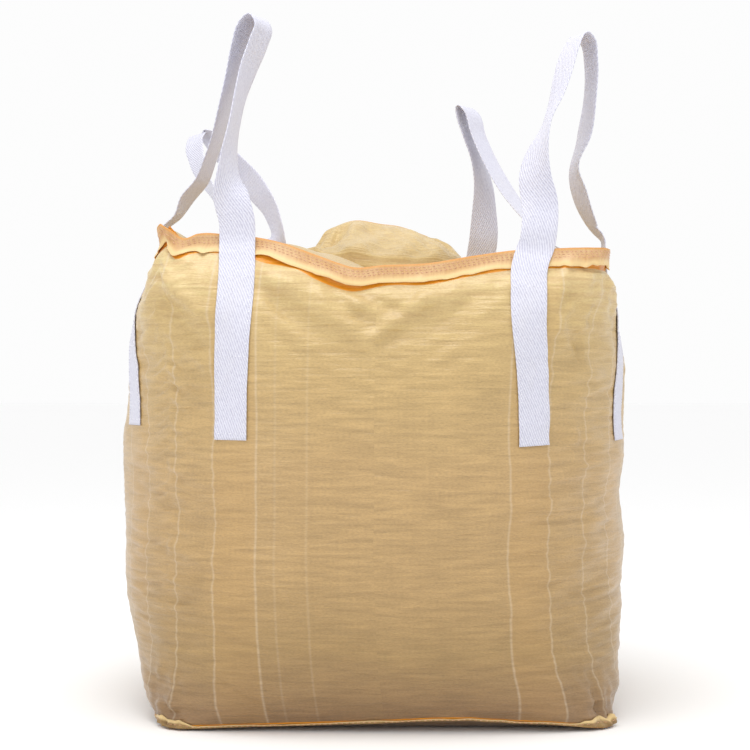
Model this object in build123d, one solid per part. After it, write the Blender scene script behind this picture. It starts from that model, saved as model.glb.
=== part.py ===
"""Bulk bag: a woven tube of cloth on a square base, full and standing, with four corner loops.

Millimetres. The origin is the middle of the base, on the surface the bag stands on. The front
faces -Y, +X is to the right and +Z is up.
"""

import math
import os

from build123d import *

# Body of the bag
BASE_SIDE = 870.0  # flat square base, outside
BELLY_SIDE = 1096.0  # widest level of the full bag
TOP_SIDE = 874.0  # at the top hem
BELLY_HEIGHT = 526.0
NECK_HEIGHT = 950.0  # the walls reach the top side here
BODY_HEIGHT = 1000.0  # the walls are drawn this tall, then trimmed to the sagging edge
BASE_CORNER = 45.0  # corner radii of the square section
BELLY_CORNER = 440.0
TOP_CORNER = 55.0
LOW_FULLNESS = 4.5  # how fast the walls swell from the base to the belly
HIGH_FULLNESS = 3.0  # and how long they stay full above it
CLOTH = 2.0  # drawn thickness of the woven cloth

# Sagging top edge
EDGE_DIP = 899.0  # height of the edge in the middle of each side
EDGE_RISE = 60.0  # how much higher the corners stand
EDGE_TILT = 14.0  # the left side is this much above the mean, the right side as much below
DOME_RISE = 35.0  # crown of the top panel over its edge
SAG_MARGIN = 40.0  # the sagging surface is drawn this far past the walls
SAG_POINTS = 17  # along each side of its grid
HEM_HEIGHT = 38.0
HEM_CLOTH = 1.6

# Lifting webbing
WEB_WIDTH = 70.0
WEB_CLOTH = 2.5
LEG_OFFSET = 300.0  # from the middle of a side to the middle of a sewn leg
LEG_END_FRONT_LEFT = 566.0  # lower ends of the sewn legs
LEG_END_FRONT_RIGHT = 554.0
LEG_END_SIDE_LEFT = 589.0
LEG_END_SIDE_RIGHT = 558.0
LEFT_FOLD = 977.0  # height of the line that each loop folds about
RIGHT_FOLD = 957.0
FOLD_GAP = 5.0  # between a sewn leg and its loop, along the webbing
TIP_WIDTH = 3.0  # the loop is drawn to a point at its fold so that it can turn
TIP_LENGTH = 72.0
LOOP_REACH_UP = 190.0  # how far a strand keeps going straight up
LOOP_REACH_TOP = 52.0  # how broad the bend over the top is
LOOP_STATIONS = 13  # sections along each strand, closer together towards its foot
LOOP_CROWDING = 0.9
APEXES = {  # top of each loop
    "front_left": (-258.0, -372.0, 1400.0),
    "front_right": (384.0, -372.0, 1368.0),
    "back_left": (-462.0, 560.0, 1306.0),
    "back_right": (196.0, 430.0, 1350.0),
}
LEG_STEP = 8.0  # a leg steps out over the hem this far below it

# Filling spout, collapsed on the top panel
SPOUT_X = -28.0
SPOUT_DIAMETER = 390.0
MOUTH_WIDTH = 236.0
MOUTH_DEPTH = 46.0
MOUTH_TOP = 1029.0
MOUTH_HEM = 20.0
MOUTH_CLOTH = 4.0
MOUTH_ROW = 3.0  # thread row above the lower edge of the mouth's hem
SPOUT_SEAM = 8.0

# Base
SEAM_LOW = 3.5
SEAM_HEIGHT = 26.0
SEAM_ROWS = (0.4, 0.75)  # thread rows, as shares of the seam's height
BASE_CLOTH = 3.0

# Thread and fits
THREAD = 1.4
THREAD_PROUD = 0.7
HEM_THREAD_PROUD = 0.15  # drawn flat, because the webbing is sewn over the hem's rows
STITCH_INSET = 6.0  # thread rows from the edge of the webbing
LEG_STITCH_GAP = 12.0  # from a leg's lower end to its first cross row
LEG_BOX = 150.0  # height of the sewn box at a leg's lower end
HEM_ROWS = (7.0, 13.0, 19.0)  # below the top edge
ROW_GAP = 0.5  # between a row across a leg and the rows along it
GAP = 0.15  # between layers of the same bag
CLEAR = 1.0  # between the collapsed spout and its mouth


def rise(height):
    """Return 0 at the base or neck and 1 at the belly."""
    if height <= BELLY_HEIGHT:
        return 1 - (1 - height / BELLY_HEIGHT) ** LOW_FULLNESS
    if height <= NECK_HEIGHT:
        return 1 - ((height - BELLY_HEIGHT) / (NECK_HEIGHT - BELLY_HEIGHT)) ** HIGH_FULLNESS
    return 0


def half_side(height):
    """Half of the bag's width at a height, outside."""
    end = BASE_SIDE if height <= BELLY_HEIGHT else TOP_SIDE
    return (end + (BELLY_SIDE - end) * rise(height)) / 2


def corner(height):
    """Corner radius of the section at a height."""
    end = BASE_CORNER if height <= BELLY_HEIGHT else TOP_CORNER
    return end + (BELLY_CORNER - end) * rise(height)


def walls(offset):
    """The bag's outer form, grown by offset and not yet trimmed at the top."""
    heights = [share * BELLY_HEIGHT for share in (0, 0.06, 0.18, 0.4, 0.68)]
    heights += [BELLY_HEIGHT + share * (NECK_HEIGHT - BELLY_HEIGHT) for share in (0, 0.4, 0.75, 1)]
    heights.append(BODY_HEIGHT)
    sections = []
    for height in heights:
        side = 2 * (half_side(height) + offset)
        sections.append(Pos(0, 0, height) * RectangleRounded(side, side, corner(height) + offset))
    return loft(sections)


def plateau(share):
    """Rises from 0 in the middle of a side to 1 at its ends, and stays level past them."""
    return 1 - (1 - min(share * share, 1)) ** 3


def sag_height(x, y):
    """Height of the top panel's surface, which is the bag's top edge along its walls."""
    u = 2 * x / TOP_SIDE
    v = 2 * y / TOP_SIDE
    dome = DOME_RISE * (1 - u * u) * (1 - v * v)
    return EDGE_DIP + EDGE_RISE * plateau(u) * plateau(v) - EDGE_TILT * u + dome


def sag_face(offset):
    """The sagging surface, moved up by offset, past the walls on every side."""
    reach = BELLY_SIDE / 2 + SAG_MARGIN
    steps = [reach * (2 * i / (SAG_POINTS - 1) - 1) for i in range(SAG_POINTS)]
    rows = [[Vector(x, y, sag_height(x, y) + offset) for x in steps] for y in steps]
    return Face.make_surface_from_array_of_points(rows, tol=0.05, min_deg=3, max_deg=5)


def above(offset):
    """Everything over the sagging surface."""
    return extrude(sag_face(offset), amount=2 * BODY_HEIGHT, dir=(0, 0, 1))


def below(offset):
    """Everything under the sagging surface."""
    return extrude(sag_face(offset), amount=2 * BODY_HEIGHT, dir=(0, 0, -1))


def slab(low, high):
    """Everything between two heights."""
    side = 2 * BELLY_SIDE
    return Pos(0, 0, (low + high) / 2) * Box(side, side, high - low)


def save(name, shape):
    """Write one node, as one solid or as a group of solids."""
    solids = shape.solids()
    whole = solids[0] if len(solids) == 1 else Compound(children=list(solids))
    export_step(whole, f"parts/{name}.step")


def sewn_legs():
    """Name, direction out of the bag, direction along the side, lower end and fold height."""
    legs = []
    for side_name, sx in (("left", -1), ("right", 1)):
        fold = LEFT_FOLD if sx < 0 else RIGHT_FOLD
        face_end = LEG_END_FRONT_LEFT if sx < 0 else LEG_END_FRONT_RIGHT
        side_end = LEG_END_SIDE_LEFT if sx < 0 else LEG_END_SIDE_RIGHT
        for face_name, sy in (("front", -1), ("back", 1)):
            place = f"{face_name}_{side_name}"
            legs.append((f"{place}_leg_{face_name}", (0, sy), (sx, 0), face_end, fold))
            legs.append((f"{place}_leg_side", (sx, 0), (0, sy), side_end, fold))
    return legs


def strip(out, along, shift, width, low, high):
    """A box through one wall, shift from the leg's middle line."""
    middle = LEG_OFFSET + shift
    x = out[0] * BELLY_SIDE / 2 + along[0] * middle
    y = out[1] * BELLY_SIDE / 2 + along[1] * middle
    reach = BELLY_SIDE / 2
    size_x = reach if out[0] else width
    size_y = reach if out[1] else width
    return Pos(x, y, (low + high) / 2) * Box(size_x, size_y, high - low)


def bezier(points, t):
    """Point and direction at t on a cubic curve with four control points."""
    a, b, c, d = points
    s = 1 - t
    place = a * s**3 + b * (3 * s * s * t) + c * (3 * s * t * t) + d * t**3
    heading = (b - a) * (s * s) + (c - b) * (2 * s * t) + (d - c) * (t * t)
    return place, heading.normalized()


def loop_sections(sx, sy, fold, apex):
    """Rectangles of webbing from the fold at the front or back leg to the fold at the side leg.

    Each strand is a cubic curve that leaves its leg upwards and comes over the top level. The
    width turns from along the bag's side to across the loop, and on to the other side.
    """
    mid = half_side(fold) + GAP * 2 + HEM_CLOTH + WEB_CLOTH / 2
    foot_a = Vector(sx * LEG_OFFSET, sy * mid, fold + FOLD_GAP / 2)
    foot_b = Vector(sx * mid, sy * LEG_OFFSET, fold + FOLD_GAP / 2)
    top = Vector(*apex)
    over = Vector(foot_b.X - foot_a.X, foot_b.Y - foot_a.Y, 0).normalized()
    up = Vector(0, 0, LOOP_REACH_UP)
    strand_a = (foot_a, foot_a + up, top - over * LOOP_REACH_TOP, top)
    strand_b = (foot_b, foot_b + up, top + over * LOOP_REACH_TOP, top)
    stations = []
    for i in range(LOOP_STATIONS):
        t = (i / (LOOP_STATIONS - 1)) ** LOOP_CROWDING
        place, heading = bezier(strand_a, t)
        stations.append((place, heading, t / 2))
    for i in reversed(range(LOOP_STATIONS - 1)):
        t = (i / (LOOP_STATIONS - 1)) ** LOOP_CROWDING
        place, heading = bezier(strand_b, t)
        stations.append((place, heading * -1, 1 - t / 2))
    sections = []
    for place, heading, share in stations:
        turn = math.pi / 2 * share
        width = Vector(sx * math.cos(turn), sy * math.sin(turn), 0)
        width = (width - heading * width.dot(heading)).normalized()
        thick = width.cross(heading)
        height = place.Z - fold
        half = min(WEB_WIDTH, TIP_WIDTH + (WEB_WIDTH - TIP_WIDTH) * height / TIP_LENGTH) / 2
        w, n = width * half, thick * (WEB_CLOTH / 2)
        ring = [place - w - n, place + w - n, place + w + n, place - w + n]
        sections.append(Wire.make_polygon(ring, close=True))
    return sections


os.makedirs("parts", exist_ok=True)

outer = walls(0)
inner = walls(-CLOTH)

# Body tube, base and top panel
over_edge = above(0)
tube = (outer - inner) - over_edge - slab(-BASE_CLOTH, BASE_CLOTH + GAP)
save("body_tube", tube)

base_plan = RectangleRounded(BASE_SIDE, BASE_SIDE, BASE_CORNER)
save("base_panel", extrude(base_plan, BASE_CLOTH))

room = walls(-CLOTH - GAP)
panel_top = below(-GAP)
panel_low = below(-GAP - CLOTH)
save("top_panel", (room & panel_top) - panel_low)

fill_room = walls(-CLOTH - 2 * GAP) & slab(BASE_CLOTH + GAP, BODY_HEIGHT)
save("bulk_fill", fill_room & below(-2 * GAP - CLOTH))

# Hems at the top edge and round the base
hem_shell = walls(GAP + HEM_CLOTH) - walls(GAP)
save("top_hem", (hem_shell - over_edge) - below(-HEM_HEIGHT))
save("base_seam_hem", hem_shell & slab(SEAM_LOW, SEAM_LOW + SEAM_HEIGHT))

hem_face = walls(GAP + HEM_CLOTH)
thread_shell = walls(GAP + HEM_CLOTH + HEM_THREAD_PROUD) - hem_face
rows = [(thread_shell & below(-row)) - below(-row - THREAD) for row in HEM_ROWS]
save("top_hem_stitching", Compound(children=[s for row in rows for s in row.solids()]))
thread_shell = walls(GAP + HEM_CLOTH + THREAD_PROUD) - hem_face
levels = [SEAM_LOW + SEAM_HEIGHT * share for share in SEAM_ROWS]
rows = [thread_shell & slab(low, low + THREAD) for low in levels]
save("base_seam_stitching", Compound(children=[s for row in rows for s in row.solids()]))

# Webbing legs: flat on the cloth, then stepping out over the hem
low_shell = walls(GAP + WEB_CLOTH) - walls(GAP)
low_shell = low_shell & below(-HEM_HEIGHT - 2 * GAP)
high_inside = 2 * GAP + HEM_CLOTH
high_shell = walls(high_inside + WEB_CLOTH) - walls(high_inside)
high_shell = high_shell - below(-HEM_HEIGHT - LEG_STEP)
leg_thread = walls(GAP + WEB_CLOTH + THREAD_PROUD) - walls(GAP + WEB_CLOTH)
for name, out, along, low, fold in sewn_legs():
    top = fold - FOLD_GAP / 2
    wall = strip(out, along, 0, WEB_WIDTH, low, top)
    save(name, (low_shell & wall) + (high_shell & wall))
    side_row = WEB_WIDTH / 2 - STITCH_INSET
    first = low + LEG_STITCH_GAP
    last = EDGE_DIP - HEM_HEIGHT - LEG_STITCH_GAP
    bars = [strip(out, along, -side_row, THREAD, first, last)]
    bars.append(strip(out, along, side_row, THREAD, first, last))
    for level in (first, first + LEG_BOX, last):
        bars.append(strip(out, along, 0, 2 * (side_row - ROW_GAP) - THREAD, level, level + THREAD))
    threads = [s for bar in bars for s in (leg_thread & bar).solids()]
    save(f"{name}_stitching", Compound(children=threads))

# Lifting loops
for place, apex in APEXES.items():
    sx = -1 if place.endswith("left") else 1
    sy = -1 if place.startswith("front") else 1
    fold = LEFT_FOLD if sx < 0 else RIGHT_FOLD
    save(f"{place}_loop", Solid.make_loft(loop_sections(sx, sy, fold, apex), ruled=True))

# Filling spout
mouth_low = MOUTH_TOP - MOUTH_HEM
collar = Pos(SPOUT_X, 0, EDGE_DIP) * Circle(SPOUT_DIAMETER / 2)
mouth_plan = SlotOverall(MOUTH_WIDTH, MOUTH_DEPTH)
ridge = Pos(SPOUT_X, 0, mouth_low - CLEAR) * mouth_plan
save("filling_spout", loft([collar, ridge]) & above(GAP))

seam_outer = Pos(SPOUT_X, 0, BODY_HEIGHT) * Cylinder(SPOUT_DIAMETER / 2 + SPOUT_SEAM, BODY_HEIGHT)
seam_inner = Pos(SPOUT_X, 0, BODY_HEIGHT) * Cylinder(SPOUT_DIAMETER / 2 + GAP, BODY_HEIGHT)
seam = (seam_outer - seam_inner) & above(GAP)
save("spout_base_seam", seam - above(GAP + CLOTH))

mouth = mouth_plan - SlotOverall(MOUTH_WIDTH - 2 * MOUTH_CLOTH, MOUTH_DEPTH - 2 * MOUTH_CLOTH)
save("spout_mouth_hem", Pos(SPOUT_X, 0, mouth_low) * extrude(mouth, MOUTH_HEM))
thread_out = 2 * (GAP + THREAD_PROUD)
thread_ring = SlotOverall(MOUTH_WIDTH + thread_out, MOUTH_DEPTH + thread_out)
thread_ring -= SlotOverall(MOUTH_WIDTH + 2 * GAP, MOUTH_DEPTH + 2 * GAP)
save("spout_mouth_stitching", Pos(SPOUT_X, 0, mouth_low + MOUTH_ROW) * extrude(thread_ring, THREAD))
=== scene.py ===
"""A full bulk bag of woven cloth with its webbing loops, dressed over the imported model.

Metres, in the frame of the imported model: the origin is the middle of the base, the front faces
-Y, +X is to the right and +Z is up.
"""

import logging
import math
from dataclasses import dataclass, field
from enum import Enum
from typing import Any, Sequence

import bmesh
import bpy
import numpy as np
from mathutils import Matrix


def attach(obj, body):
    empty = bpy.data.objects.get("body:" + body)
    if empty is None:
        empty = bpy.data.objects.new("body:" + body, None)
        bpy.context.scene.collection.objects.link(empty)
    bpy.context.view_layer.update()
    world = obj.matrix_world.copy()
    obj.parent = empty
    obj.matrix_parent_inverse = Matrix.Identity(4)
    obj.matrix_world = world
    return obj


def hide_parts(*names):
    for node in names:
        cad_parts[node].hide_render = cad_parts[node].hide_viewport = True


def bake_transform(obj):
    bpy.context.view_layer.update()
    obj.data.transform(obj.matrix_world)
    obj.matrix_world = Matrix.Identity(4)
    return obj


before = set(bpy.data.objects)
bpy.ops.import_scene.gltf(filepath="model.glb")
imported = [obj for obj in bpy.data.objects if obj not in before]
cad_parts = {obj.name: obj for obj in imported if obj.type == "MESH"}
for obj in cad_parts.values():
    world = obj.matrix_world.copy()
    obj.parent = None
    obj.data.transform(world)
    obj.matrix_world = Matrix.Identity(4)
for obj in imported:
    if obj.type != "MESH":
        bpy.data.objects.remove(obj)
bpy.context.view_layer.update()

LOG = logging.getLogger("bulk_bag")
Array = np.ndarray
Vec3 = tuple[float, float, float]
Knots = tuple[tuple[float, ...], ...]

WALL = 0.9  # side of the square that the cloth was cut and sewn to
GIRTH = 4 * WALL
UP = np.array([0.0, 0.0, 1.0])


class Side(Enum):
    """The four walls of the tube, counted anticlockwise from the front, seen from above."""

    FRONT = 0
    RIGHT = 1
    BACK = 2
    LEFT = 3


# ---------------------------------------------------------------------------------------------
# Numbers and surfaces
# ---------------------------------------------------------------------------------------------


def smoothstep(low: float, high: float, value: Array) -> Array:
    """Rises from 0 at low to 1 at high as 3t^2 - 2t^3, t being the clipped share of the way."""
    t = np.clip((np.asarray(value, float) - low) / (high - low), 0.0, 1.0)
    return t * t * (3.0 - 2.0 * t)


def smooth_line(knots: Sequence[Sequence[float]], at: Array) -> Array:
    """A smooth curve through given knots.

    Between two knots it is the cubic whose slope at each knot is that of the straight line
    between that knot's neighbours (Catmull and Rom's), with the ends level with the end runs.

    Args:
        knots: rows of a place along the line and one or more values, in rising order.
        at: places along the line.

    Returns:
        The values at those places, with one more axis where the knots have several values.
    """
    table = np.asarray(knots, float)
    x, y = table[:, 0], table[:, 1:]
    at = np.clip(np.asarray(at, float), x[0], x[-1])
    slope = np.gradient(y, x, axis=0)
    i = np.clip(np.searchsorted(x, at, side="right") - 1, 0, len(x) - 2)
    step = (x[i + 1] - x[i])[..., None]
    t = (at - x[i])[..., None] / step
    value = (
        y[i] * (2 * t**3 - 3 * t**2 + 1)
        + slope[i] * step * (t**3 - 2 * t**2 + t)
        + y[i + 1] * (3 * t**2 - 2 * t**3)
        + slope[i + 1] * step * (t**3 - t**2)
    )
    return value[..., 0] if value.shape[-1] == 1 else value


def cloth_noise(shape: tuple[int, int], size: tuple[float, float],
                wave: tuple[float, float], seed: int, slant: float = 0.0) -> Array:
    """Soft random waves that repeat at the grid's edges, with a spread of 1.

    White noise is filtered so that waves about as long as the asked ones stay: each frequency
    is kept by exp(-(f * wave)^2), and divided by the spread of what is left.

    Args:
        shape: rows and columns.
        size: the grid's height and width in metres.
        wave: wavelengths up and across in metres.
        seed: seed of the random draws.
        slant: degrees by which the waves' crests fall to the right.
    """
    rows, columns = shape
    white = np.random.default_rng(seed).standard_normal(shape)
    up = np.fft.fftfreq(rows, size[0] / rows)[:, None]
    across = np.fft.fftfreq(columns, size[1] / columns)[None, :]
    cos, sin = math.cos(math.radians(slant)), math.sin(math.radians(slant))
    kept = np.exp(-((up * cos + across * sin) * wave[0]) ** 2
                  - ((across * cos - up * sin) * wave[1]) ** 2)
    kept[0, 0] = 0.0
    out = np.real(np.fft.ifft2(np.fft.fft2(white) * kept))
    return out / out.std()


def unit(vectors: Array) -> Array:
    """Each vector divided by its length."""
    return vectors / np.maximum(np.linalg.norm(vectors, axis=-1, keepdims=True), 1e-12)


def laps(columns: int) -> Array:
    """Places round the tube, from 0 to 4, of that many columns."""
    return np.arange(columns) * 4.0 / columns


def off_middle(lap: Array) -> Array:
    """Place along a wall, from -1 at its left corner to 1 at its right one."""
    return 2 * (lap - np.floor(lap + 0.5))


def hem_waves(columns: int, along: float, seed: int, rows: int = 8) -> Array:
    """Soft random waves in rows along a hem, so long across; one row is one edge."""
    return cloth_noise((rows, columns), (0.1, GIRTH), (0.05, along), seed)


def map_of(u: Array, v: Array) -> Array:
    """A cloth map from a place along each column and a place down each row."""
    return np.stack(np.broadcast_arrays(u[None], v[:, None]), -1)


def between(lap: Array, columns: int) -> tuple[Array, Array, Array]:
    """The two columns on either side of a place round the tube, and how far it is past the first."""
    column = lap * columns / 4.0
    first = np.floor(column).astype(int) % columns
    return first, (first + 1) % columns, (column - np.floor(column))[..., None]


def grid_mesh(name: str, points: Array, uv: Array | None = None, round_columns: bool = False,
              round_rows: bool = False, flip: bool = False, smooth: bool = True) -> bpy.types.Object:
    """A mesh of quads over a grid of points.

    Args:
        name: the piece's name.
        points: rows x columns x 3, in metres.
        uv: coordinates for each point; where columns or rows go round, one more of each.
        round_columns: the last column joins the first.
        round_rows: the last row joins the first.
        flip: turn the faces over.
        smooth: shade smoothly.

    Returns:
        The object, linked to the scene, at the origin.
    """
    rows, columns = points.shape[:2]
    r = np.arange(rows if round_rows else rows - 1)[:, None]
    c = np.arange(columns if round_columns else columns - 1)[None, :]
    r1, c1 = (r + 1) % rows, (c + 1) % columns
    quads = np.stack([r * columns + c, r * columns + c1, r1 * columns + c1, r1 * columns + c], -1)
    quads = quads.reshape(-1, 4)
    wide = (r + 0 * c, c + 0 * r)
    corners = np.stack([np.stack([wide[0] + i, wide[1] + j], -1)
                        for i, j in ((0, 0), (0, 1), (1, 1), (1, 0))], 2).reshape(-1, 4, 2)
    if flip:
        quads, corners = quads[:, ::-1], corners[:, ::-1]
    mesh = bpy.data.meshes.new(name)
    mesh.vertices.add(rows * columns)
    mesh.vertices.foreach_set("co", points.reshape(-1).astype(np.float32))
    mesh.loops.add(quads.size)
    mesh.loops.foreach_set("vertex_index", quads.reshape(-1).astype(np.int32))
    mesh.polygons.add(len(quads))
    mesh.polygons.foreach_set("loop_start", np.arange(0, quads.size, 4, dtype=np.int32))
    mesh.polygons.foreach_set("use_smooth", np.full(len(quads), smooth))
    mesh.update(calc_edges=True)
    if uv is not None:
        layer = mesh.uv_layers.new(name="cloth")
        rr = np.minimum(corners[..., 0], uv.shape[0] - 1)
        cc = np.minimum(corners[..., 1], uv.shape[1] - 1)
        layer.data.foreach_set("uv", uv[rr, cc].reshape(-1).astype(np.float32))
    mesh.validate()
    made = bpy.data.objects.new(name, mesh)
    bpy.context.scene.collection.objects.link(made)
    return made


def add_attribute(piece: bpy.types.Object, name: str, values: Array) -> None:
    """Stores one number for each point of a piece, for its material to read."""
    layer = piece.data.attributes.new(name, "FLOAT", "POINT")
    layer.data.foreach_set("value", values.reshape(-1).astype(np.float32))


def dress(piece: bpy.types.Object, height: Array, past: Array, marked: bool = False) -> None:
    """Stores what the woven cloth's material reads.

    Args:
        piece: a piece of cloth.
        height: height in the bag of each point, which sets its tone, with painted light above and
            painted shade below.
        past: metres from the nearest dark slot, which is coloured with painted shade; under 0 is inside
            one.
        marked: whether the marker yarns run through this piece.
    """
    add_attribute(piece, "height", height)
    # Painted shade: where this share is low, inside a slot, the material colours the cloth deep orange.
    add_attribute(piece, "slot", np.clip(0.5 + past / 0.02, 0, 1))
    add_attribute(piece, "marked", np.full(len(piece.data.vertices), float(marked)))


def close_ends(piece: bpy.types.Object, rows: int, columns: int) -> None:
    """Caps the first and the last row of a tube of rows x columns points with one face each."""
    mesh = piece.data
    old = [tuple(p.vertices) for p in mesh.polygons]
    first = tuple(reversed(range(columns)))
    last = tuple(range((rows - 1) * columns, rows * columns))
    uvs = np.zeros(len(mesh.loops) * 2, np.float32)
    mesh.uv_layers[0].data.foreach_get("uv", uvs)
    co = np.zeros(len(mesh.vertices) * 3, np.float32)
    mesh.vertices.foreach_get("co", co)
    capped = bpy.data.meshes.new(mesh.name)
    capped.from_pydata(co.reshape(-1, 3).tolist(), [], old + [first, last])
    layer = capped.uv_layers.new(name="cloth")
    layer.data.foreach_set("uv", np.concatenate([uvs, np.zeros(4 * columns, np.float32)]))
    capped.polygons.foreach_set("use_smooth", np.array([True] * len(old) + [False] * 2))
    capped.update()
    piece.data = capped
    bpy.data.meshes.remove(mesh)


def stitches(name: str, starts: Array, ends: Array, outward: Array, thick: float) -> bpy.types.Object:
    """A row of sewing stitches, each a small six-sided bead that dips into the cloth at its ends.

    The bead runs from start to end. Its rings at 0, 1/4, 1/2, 3/4 and 1 of the way have radii
    that follow a half circle, and the middle stands off the cloth by a third of the thread.

    Args:
        name: the piece's name.
        starts: count x 3 points where the stitches go in.
        ends: count x 3 points where they come out.
        outward: count x 3 unit vectors away from the cloth.
        thick: thread's diameter.
    """
    sides, stations = 6, 5
    along = unit(ends - starts)
    side = unit(np.cross(along, outward))
    share = np.linspace(0, 1, stations)[None, :, None, None]
    turn = np.linspace(0, 2 * math.pi, sides, endpoint=False)[None, None, :, None]
    swell = np.sqrt(np.clip(1 - (1.9 * (share - 0.5)) ** 2, 0.02, 1))
    middle = starts[:, None, None] + (ends - starts)[:, None, None] * share
    middle = middle + outward[:, None, None] * thick * (swell - 0.66)
    ring = side[:, None, None] * np.cos(turn) + outward[:, None, None] * np.sin(turn) * 0.8
    points = (middle + ring * swell * thick / 2).reshape(-1, 3)
    count = len(starts)
    base = np.arange(count)[:, None, None] * stations * sides
    i = np.arange(stations - 1)[None, :, None] * sides
    j = np.arange(sides)[None, None, :]
    j1 = (j + 1) % sides
    quads = np.stack([base + i + j, base + i + j1, base + i + sides + j1, base + i + sides + j], -1)
    mesh = bpy.data.meshes.new(name)
    loops = quads.reshape(-1, 4)[:, ::-1]
    caps = np.concatenate([
        (base[:, 0] + np.arange(sides)[None, :]),
        (base[:, 0] + (stations - 1) * sides + np.arange(sides)[::-1][None, :]),
    ])
    index = np.concatenate([loops.reshape(-1), caps.reshape(-1)]).astype(np.int32)
    begins = np.concatenate([np.arange(len(loops)) * 4,
                             loops.size + np.arange(len(caps)) * sides]).astype(np.int32)
    mesh.vertices.add(len(points))
    mesh.vertices.foreach_set("co", points.reshape(-1).astype(np.float32))
    mesh.loops.add(len(index))
    mesh.loops.foreach_set("vertex_index", index)
    mesh.polygons.add(len(begins))
    mesh.polygons.foreach_set("loop_start", begins)
    mesh.polygons.foreach_set("use_smooth", np.full(len(begins), True))
    mesh.update(calc_edges=True)
    mesh.validate()
    made = bpy.data.objects.new(name, mesh)
    bpy.context.scene.collection.objects.link(made)
    return made


# ---------------------------------------------------------------------------------------------
# Finishes
# ---------------------------------------------------------------------------------------------


def linear(code: str) -> tuple[float, float, float, float]:
    """An sRGB hex colour as linear RGBA: c / 12.92 under 0.04045, else ((c + 0.055) / 1.055)^2.4."""
    parts = [int(code.lstrip("#")[i:i + 2], 16) / 255 for i in (0, 2, 4)]
    return (*[c / 12.92 if c <= 0.04045 else ((c + 0.055) / 1.055) ** 2.4 for c in parts], 1.0)


@dataclass
class Finish:
    """A material being built: its nodes, and a short way to add one."""

    name: str
    material: bpy.types.Material = field(init=False)

    def __post_init__(self) -> None:
        """Makes an empty node material."""
        self.material = bpy.data.materials.new(self.name)
        self.material.use_nodes = True
        self.material.node_tree.nodes.clear()

    def add(self, kind: str, settings: dict[str, Any] | None = None, **links: Any) -> Any:
        """Adds a node, sets it up and wires its inputs.

        Args:
            kind: Blender's node type.
            settings: attributes of the node.
            links: input names, with spaces as underscores and a trailing number for an input
                by its place (in0, in1), each a value or an output socket.
        """
        node = self.material.node_tree.nodes.new(kind)
        for key, value in (settings or {}).items():
            setattr(node, key, value)
        for key, value in links.items():
            place = int(key[2:]) if key[:2] == "in" and key[2:].isdigit() else key.replace("_", " ")
            socket = node.inputs[place]
            if isinstance(value, bpy.types.NodeSocket):
                self.material.node_tree.links.new(value, socket)
            else:
                socket.default_value = value
        return node

    def ramp(self, value: Any, stops: Sequence[tuple[float, Any]]) -> Any:
        """A colour ramp on a value, from stops of place and colour or grey; returns its colour."""
        node = self.add("ShaderNodeValToRGB", in0=value)
        points = node.color_ramp.elements
        while len(points) < len(stops):
            points.new(0.5)
        for point, (place, colour) in zip(points, stops):
            point.position = place
            point.color = linear(colour) if isinstance(colour, str) else (colour,) * 3 + (1.0,)
        return node.outputs["Color"]

    def math(self, operation: str, first: Any, second: Any = 0.0, third: Any = 0.0) -> Any:
        """One Math node; returns its value."""
        settings = {"operation": operation}
        return self.add("ShaderNodeMath", settings, in0=first, in1=second, in2=third).outputs[0]

    def mix(self, share: Any, first: Any, second: Any, blend: str = "MIX") -> Any:
        """One colour Mix node; returns its colour."""
        settings = {"data_type": "RGBA", "blend_type": blend}
        return self.add("ShaderNodeMix", settings, in0=share, in6=first, in7=second).outputs[2]

    def noise(self, vector: Any, scale: Vec3, detail: float = 3.0, distortion: float = 0.0) -> Any:
        """Noise stretched by a scale along each axis; returns its factor."""
        placed = self.add("ShaderNodeMapping", Vector=vector, Scale=scale).outputs[0]
        return self.add("ShaderNodeTexNoise", None, Vector=placed, Scale=1.0, Detail=detail,
                        Roughness=0.55, Distortion=distortion).outputs["Fac"]

    def finish(self, colour: Any, roughness: Any, normal: Any, **sockets: Any) -> bpy.types.Material:
        """Adds the shader and the output, and returns the material."""
        shader = self.add("ShaderNodeBsdfPrincipled", None, Base_Color=colour, Roughness=roughness,
                          **sockets)
        if normal is not None:
            self.material.node_tree.links.new(normal, shader.inputs["Normal"])
        self.add("ShaderNodeOutputMaterial", None, Surface=shader.outputs[0])
        return self.material


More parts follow.
